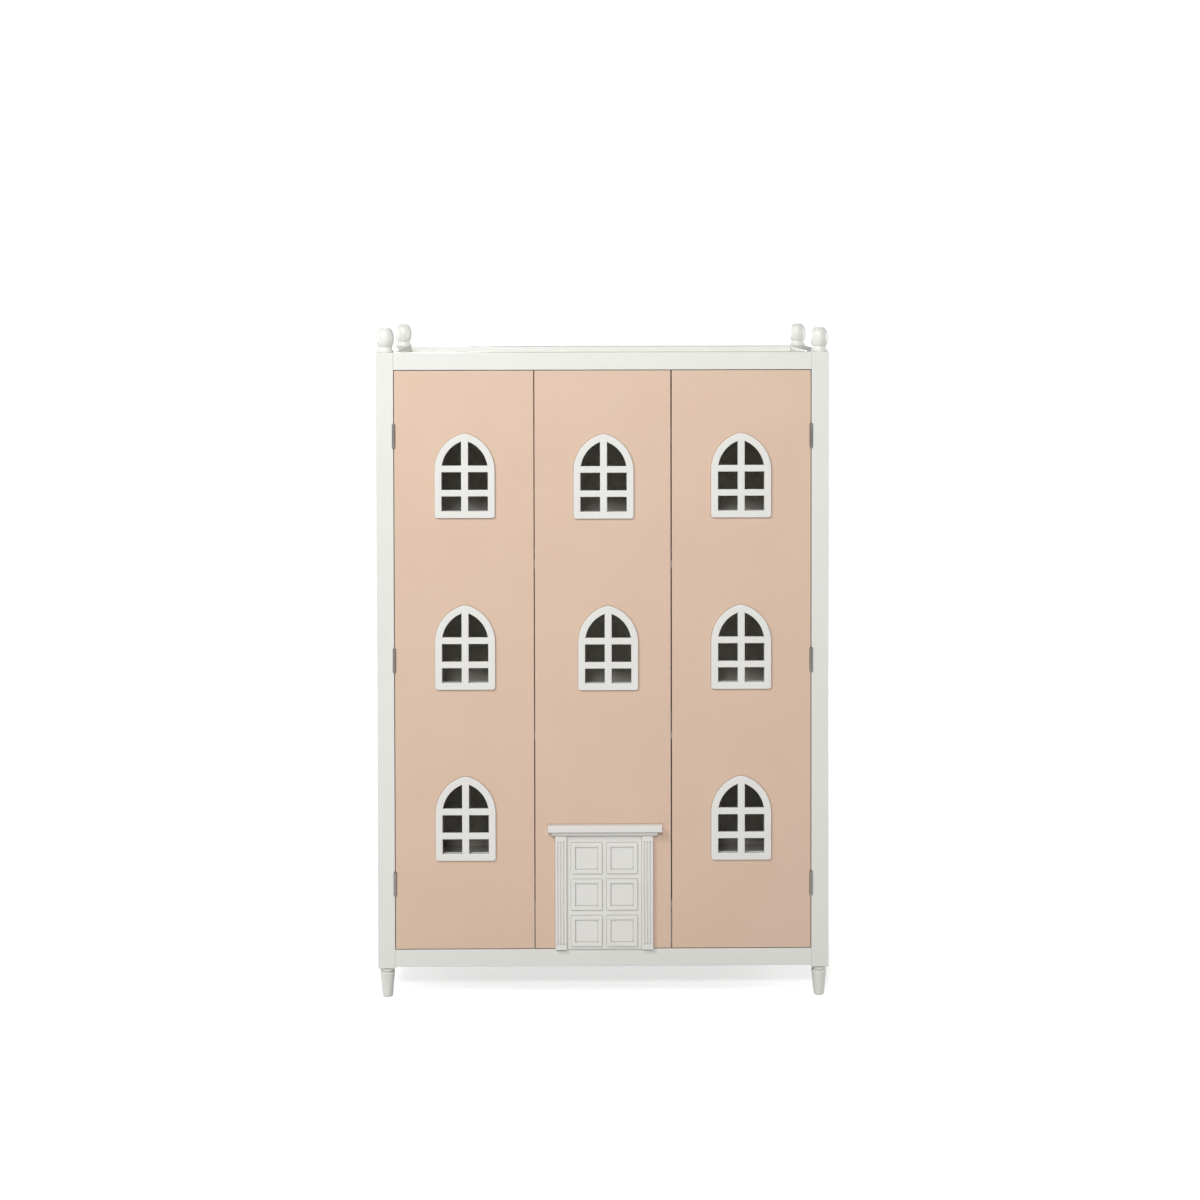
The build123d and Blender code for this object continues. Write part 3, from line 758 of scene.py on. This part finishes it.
# ------------------------------------------------------------------ screws
# Small countersunk steel screws, zinc plated, with a cross recess: two in every hinge plate, one
# in every strike and two up or down through every catch. Each stopped at its own angle.
SCREW_SIDES = 32
SCREW_SECTION = [(2.1, 0.0), (2.2, 0.06), (1.0, 1.2), (1.0, 8.3)]
SCREW_TIP = 9.5
CROSS_ARM = 1.25
CROSS_HALF = 0.27
CROSS_DEPTH = 0.7
CROSS_TAPER = 0.55
FIRST_SEED = 11


def cross_head_screw():
    """A screw about the z axis: its head's face at the origin and its tip towards +z."""
    mesh = bpy.data.meshes.new("cross_head_screw")
    shape = bmesh.new()
    turns = [2 * math.pi * step / SCREW_SIDES for step in range(SCREW_SIDES)]
    rings = [
        [
            shape.verts.new(Vector((radius * math.cos(a), radius * math.sin(a), depth)) * MM)
            for a in turns
        ]
        for radius, depth in SCREW_SECTION
    ]
    tip = shape.verts.new((0.0, 0.0, SCREW_TIP * MM))
    for step in range(SCREW_SIDES):
        after = (step + 1) % SCREW_SIDES
        for near, far in zip(rings, rings[1:]):
            shape.faces.new((near[step], near[after], far[after], far[step]))
        shape.faces.new((rings[-1][step], rings[-1][after], tip))
    quarter = [(CROSS_HALF, CROSS_HALF), (CROSS_HALF, CROSS_ARM), (-CROSS_HALF, CROSS_ARM)]
    mouth, root = [], []
    for turn in range(4):
        spin = Matrix.Rotation(turn * math.pi / 2, 2)
        for point in quarter:
            x, y = spin @ Vector(point)
            mouth.append(shape.verts.new(Vector((x, y, 0.0)) * MM))
            root.append(
                shape.verts.new(Vector((x * CROSS_TAPER, y * CROSS_TAPER, CROSS_DEPTH)) * MM)
            )
    for step in range(len(mouth)):
        after = (step + 1) % len(mouth)
        shape.faces.new((mouth[step], mouth[after], root[after], root[step]))
    shape.faces.new(root)
    rim = [
        shape.edges.get((loop[step], loop[(step + 1) % len(loop)]))
        for loop in (rings[0], mouth)
        for step in range(len(loop))
    ]
    bmesh.ops.triangle_fill(shape, use_beauty=True, edges=rim)
    bmesh.ops.recalc_face_normals(shape, faces=shape.faces)
    shape.to_mesh(mesh)
    shape.free()
    return bpy.data.objects.new("cross_head_screw", mesh)


def driven_screws():
    """Tree that drives a screw in at each point, along its own line and turned at random."""
    tree = bpy.data.node_groups.new("driven_screws", "GeometryNodeTree")
    tree.interface.new_socket("Geometry", in_out="INPUT", socket_type="NodeSocketGeometry")
    names = {
        label: add_input(tree, label, kind, value)
        for label, kind, value in (
            ("Screw", "NodeSocketObject", None),
            ("Full turn", "NodeSocketFloat", 2 * math.pi),
            ("Seed", "NodeSocketInt", FIRST_SEED),
            ("Plating", "NodeSocketMaterial", None),
        )
    }
    tree.interface.new_socket("Geometry", in_out="OUTPUT", socket_type="NodeSocketGeometry")
    given = tree.nodes.new("NodeGroupInput")
    out = tree.nodes.new("NodeGroupOutput")
    line = node(
        tree, "GeometryNodeInputNamedAttribute", {"Name": "drive"}, data_type="FLOAT_VECTOR"
    )
    facing = node(
        tree,
        "FunctionNodeAlignRotationToVector",
        {"Vector": next(socket for socket in line.outputs if socket.enabled)},
        axis="Z",
    )
    angle = node(
        tree,
        "FunctionNodeRandomValue",
        {3: given.outputs["Full turn"], "Seed": given.outputs["Seed"]},
        data_type="FLOAT",
    )
    twist = node(
        tree,
        "FunctionNodeAxisAngleToRotation",
        {"Axis": (0.0, 0.0, 1.0), "Angle": angle.outputs[1]},
    )
    stopped = node(
        tree,
        "FunctionNodeRotateRotation",
        {"Rotation": facing.outputs[0], "Rotate By": twist.outputs[0]},
        rotation_space="LOCAL",
    )
    shape = node(tree, "GeometryNodeObjectInfo", {"Object": given.outputs["Screw"]})
    placed = node(
        tree,
        "GeometryNodeInstanceOnPoints",
        {
            "Points": given.outputs["Geometry"],
            "Instance": shape.outputs["Geometry"],
            "Rotation": stopped.outputs[0],
        },
    )
    real = node(tree, "GeometryNodeRealizeInstances", {"Geometry": placed.outputs[0]})
    coated = node(
        tree,
        "GeometryNodeSetMaterial",
        {"Geometry": real.outputs[0], "Material": given.outputs["Plating"]},
    )
    tree.links.new(coated.outputs[0], out.inputs[0])
    return tree, names


# Where each screw's head sits, in millimetres, and the way it is driven.
HINGE_HEIGHTS = (199.0, 586.5, 974.0)
SCREW_RISE = 12.0
HINGE_SCREW_Y = -161.5
POST_FACE = 360.0
DOOR_EDGE = 359.0
FOLD_SCREWS = {"right": 127.0, "centre": 109.0}
FOLD_SCREW_Y = -154.3
CATCHES = {"left": -136.2, "centre": -100.2}
CATCH_LEVELS = {91.0: -1.0, 1082.0: 1.0}
CATCH_SCREW_Y = -149.0
CATCH_SCREW_REACH = 11.0
STRIKE_SCREW_Y = -154.7
plate_heights = [z + rise for z in HINGE_HEIGHTS for rise in (-SCREW_RISE, SCREW_RISE)]


def edge_row(x, drive):
    """Screws of a hinge plate column on a post's or a door's edge."""
    return [((x, HINGE_SCREW_Y, z), (drive, 0.0, 0.0)) for z in plate_heights]


def fold_row(leaf):
    """Screws of the fold hinges in one leaf's back."""
    return [((FOLD_SCREWS[leaf], FOLD_SCREW_Y, z), (0.0, -1.0, 0.0)) for z in plate_heights]


def strike_pair(leaf):
    """One screw in each strike of a leaf."""
    return [((CATCHES[leaf], STRIKE_SCREW_Y, z), (0.0, -1.0, 0.0)) for z in CATCH_LEVELS]


catch_row = [
    ((x + reach, CATCH_SCREW_Y, z), (0.0, 0.0, way))
    for x in CATCHES.values()
    for reach in (-CATCH_SCREW_REACH, CATCH_SCREW_REACH)
    for z, way in CATCH_LEVELS.items()
]
screw_tree, screw_inputs = driven_screws()
screw = cross_head_screw()
for number, (replaced, body, places) in enumerate(
    (
        (
            "carcass_screws",
            "carcass",
            edge_row(-POST_FACE, -1.0) + edge_row(POST_FACE, 1.0) + catch_row,
        ),
        ("left_door_screws", "left_door", edge_row(-DOOR_EDGE, 1.0) + strike_pair("left")),
        ("right_door_screws", "right_door", edge_row(DOOR_EDGE, -1.0) + fold_row("right")),
        ("centre_leaf_screws", "centre_leaf", fold_row("centre") + strike_pair("centre")),
    )
):
    heads = bpy.data.meshes.new("screw_heads")
    heads.from_pydata([Vector(spot) * MM for spot, _ in places], [], [])
    drives = heads.attributes.new("drive", "FLOAT_VECTOR", "POINT")
    for value, (_, drive) in zip(drives.data, places):
        value.vector = drive
    screw_points = bpy.data.objects.new("screw_points", heads)
    bpy.context.scene.collection.objects.link(screw_points)
    screw_modifier = screw_points.modifiers.new("screws", "NODES")
    screw_modifier.node_group = screw_tree
    for label, value in (("Screw", screw), ("Seed", FIRST_SEED + number), ("Plating", zinc)):
        screw_modifier[screw_inputs[label]] = value
    made = plain_mesh(screw_points, f"driven_{replaced}", body)
    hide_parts(replaced)
bpy.data.objects.remove(screw)


# ------------------------------------------------------------------ floor, light and camera
# A wide white studio floor that glows a little, more so far out; a softbox high in front, one on
# the left, three low weak ones for the sides and the back, and an even white surround.
floor_mesh = bpy.data.meshes.new("studio_floor")
FLOOR_REACH = 14.0
floor_mesh.from_pydata(
    [
        (-FLOOR_REACH, -FLOOR_REACH, 0.0),
        (FLOOR_REACH, -FLOOR_REACH, 0.0),
        (FLOOR_REACH, FLOOR_REACH, 0.0),
        (-FLOOR_REACH, FLOOR_REACH, 0.0),
    ],
    [],
    [(0, 1, 2, 3)],
)
floor = bpy.data.objects.new("studio_floor", floor_mesh)
bpy.context.scene.collection.objects.link(floor)
floor_paint, floor_tree, floor_shader = surface("studio_white")
floor_shader.inputs["Base Color"].default_value = (0.6, 0.6, 0.6, 1.0)
floor_shader.inputs["Roughness"].default_value = 0.9
floor_shader.inputs["Specular IOR Level"].default_value = 0.1
floor_shader.inputs["Emission Color"].default_value = (1.0, 1.0, 1.0, 1.0)
floor_place = node(floor_tree, "ShaderNodeTexCoord")
floor_distance = node(
    floor_tree, "ShaderNodeVectorMath", {0: floor_place.outputs["Object"]}, operation="LENGTH"
)
floor_glow = node(
    floor_tree,
    "ShaderNodeMapRange",
    {
        "Value": floor_distance.outputs["Value"],
        "From Min": 0.6,
        "From Max": 2.2,
        "To Min": 0.65,
        "To Max": 1.0,
    },
    interpolation_type="SMOOTHSTEP",
)
floor_rays = node(floor_tree, "ShaderNodeLightPath")
floor_seen = node(
    floor_tree,
    "ShaderNodeMath",
    {0: floor_glow.outputs["Result"], 1: floor_rays.outputs["Is Camera Ray"]},
    operation="MULTIPLY",
)
floor_tree.links.new(floor_seen.outputs[0], floor_shader.inputs["Emission Strength"])
floor_mesh.materials.append(floor_paint)


def soft_light(name, spot, aim, size, watts, colour=(1.0, 1.0, 1.0)):
    """Square area light that faces a point."""
    data = bpy.data.lights.new(name, "AREA")
    data.shape = "SQUARE"
    data.size = size
    data.energy = watts
    data.color = colour
    light = bpy.data.objects.new(name, data)
    light.location = spot
    light.rotation_euler = (Vector(aim) - Vector(spot)).to_track_quat("-Z", "Y").to_euler()
    bpy.context.scene.collection.objects.link(light)


HOUSE_MIDDLE = (0.0, -0.17, 0.6)
soft_light("front_softbox", (-0.15, -3.77, 2.68), HOUSE_MIDDLE, 0.5, 84.8)
soft_light("left_softbox", (-1.6, -2.0, 2.7), HOUSE_MIDDLE, 0.8, 41.6)
soft_light("right_side_softbox", (2.9, 0.8, 1.1), (0.38, 0.1, 0.6), 1.2, 40.0)
soft_light("left_side_softbox", (-2.9, 0.8, 1.1), (-0.38, 0.1, 0.6), 1.2, 32.0)
soft_light("back_softbox", (-1.0, 3.2, 1.2), (0.0, 0.18, 0.6), 1.2, 46.0)

world = bpy.data.worlds.new("white_surround")
bpy.context.scene.world = world
world.use_nodes = True
world.node_tree.nodes.clear()
lit = node(world.node_tree, "ShaderNodeBackground", {"Strength": 0.163})
seen = node(world.node_tree, "ShaderNodeBackground", {"Strength": 1.05})
for background in (lit, seen):
    background.inputs["Color"].default_value = (1.0, 1.0, 1.0, 1.0)
rays = node(world.node_tree, "ShaderNodeLightPath")
both = node(
    world.node_tree,
    "ShaderNodeMixShader",
    {0: rays.outputs["Is Camera Ray"], 1: lit.outputs[0], 2: seen.outputs[0]},
)
node(world.node_tree, "ShaderNodeOutputWorld", {"Surface": both.outputs[0]})
bpy.context.scene.view_settings.view_transform = "Standard"

CAMERA_SPOT = (-0.0295, -3.2927, 1.2281)
CAMERA_TURN = -0.00811
CAMERA_DIP = 0.01936
CAMERA_ROLL = -0.00175
lens = bpy.data.cameras.new("studio_camera")
lens.lens = 54.54
lens.sensor_width = 36.0
lens.shift_y = -0.2304
lens.clip_end = 60.0
camera = bpy.data.objects.new("studio_camera", lens)
camera.matrix_world = (
    Matrix.Translation(CAMERA_SPOT)
    @ Matrix.Rotation(CAMERA_TURN, 4, "Z")
    @ Matrix.Rotation(math.pi / 2 - CAMERA_DIP, 4, "X")
    @ Matrix.Rotation(CAMERA_ROLL, 4, "Z")
)
bpy.context.scene.collection.objects.link(camera)
bpy.context.scene.camera = camera
